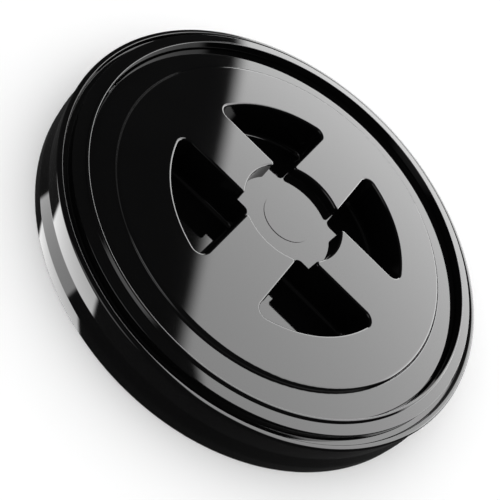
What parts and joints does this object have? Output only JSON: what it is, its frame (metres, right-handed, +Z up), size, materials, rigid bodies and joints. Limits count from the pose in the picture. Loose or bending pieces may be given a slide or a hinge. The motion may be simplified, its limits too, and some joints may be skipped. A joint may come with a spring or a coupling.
{
  "type": "screw-in pail lid",
  "caption": "Two-piece screw-in pail lid: a press-on adapter ring with an internal thread, and a spin lid with wedge-shaped finger wells and a recessed hub.",
  "frame": {"origin": "on the screw axis, level with the skirt's foot", "axes": "+Z up along the screw axis; the spokes of the spin lid lie along X and Y"},
  "size_m": [0.3318, 0.3318, 0.0381],
  "materials": {
    "ring_plastic": "glossy black injection-moulded polyethylene",
    "lid_plastic": "glossy black injection-moulded polyethylene",
    "seal_rubber": "soft matt black rubber"
  },
  "bodies": {
    "ring": {"adapter_ring": "ring_plastic", "rim_gasket": "seal_rubber"},
    "seal": {"lid_gasket": "seal_rubber"},
    "lid": {"spin_lid": "lid_plastic"}
  },
  "joints": [
    {"name": "lid_lift", "type": "slide", "parent": "ring", "child": "seal", "axis": [0, 0, 1], "range_m": [0, 0.042]},
    {"name": "lid_turn", "type": "hinge", "parent": "seal", "child": "lid", "pos_m": [0, 0, 0], "axis": [0, 0, 1], "range_deg": [0, 1260]}
  ],
  "couplings": [
    {"joint": "lid_lift", "follows": "lid_turn", "m_per_rad": 0.0019099}
  ]
}
